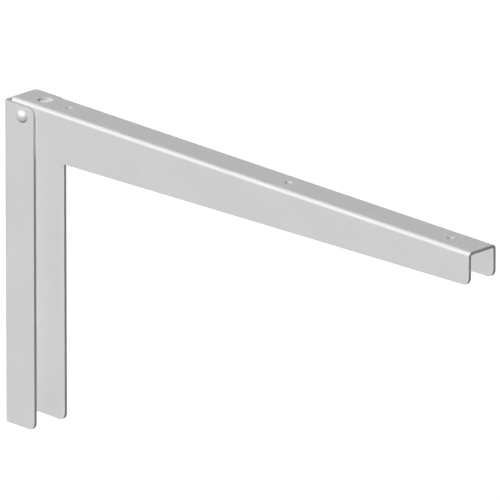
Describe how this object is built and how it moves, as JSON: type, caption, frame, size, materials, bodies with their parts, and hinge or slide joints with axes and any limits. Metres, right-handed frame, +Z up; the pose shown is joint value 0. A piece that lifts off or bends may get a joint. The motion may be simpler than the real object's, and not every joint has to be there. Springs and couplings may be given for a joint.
{
  "type": "drop leaf table bracket",
  "caption": "Folding bracket of coated sheet steel: an upright U channel for the wall and a tapered inverted U arm on a riveted pivot, which props up a drop leaf or folds flat.",
  "frame": {"origin": "on the wall plane, in the middle of the bracket's width, at the centre of the wall screws, half way up the channel", "axes": "+X runs out from the wall along the level arm, +Y across the bracket towards its rear flange, +Z up; the front flange is on the -Y side"},
  "size_m": [0.4, 0.0329, 0.2119],
  "materials": {
    "coated_steel": "satin powder coat, light neutral grey, very fine texture",
    "rivet_steel": "smooth satin coat, light neutral grey",
    "plated_steel": "bright zinc plate with fine turning marks",
    "washer_plastic": "plain pale plastic"
  },
  "bodies": {
    "wall": {"wall_channel": "coated_steel", "pivot_rivet": "rivet_steel"},
    "pivot": {"pivot_sleeve": "plated_steel", "front_washer": "washer_plastic", "rear_washer": "washer_plastic"},
    "arm": {"support_arm": "coated_steel"}
  },
  "joints": [
    {"name": "fold", "type": "hinge", "parent": "wall", "child": "pivot", "pos_m": [0.0168, 0, 0.0984], "axis": [0, 1, 0], "range_deg": [0, 90]},
    {"name": "slot_slide", "type": "slide", "parent": "pivot", "child": "arm", "axis": [0, 0, 1], "range_m": [0, 0.0125]}
  ],
  "couplings": [
    {"joint": "slot_slide", "follows": "fold", "m_per_rad": 0.0079577}
  ]
}
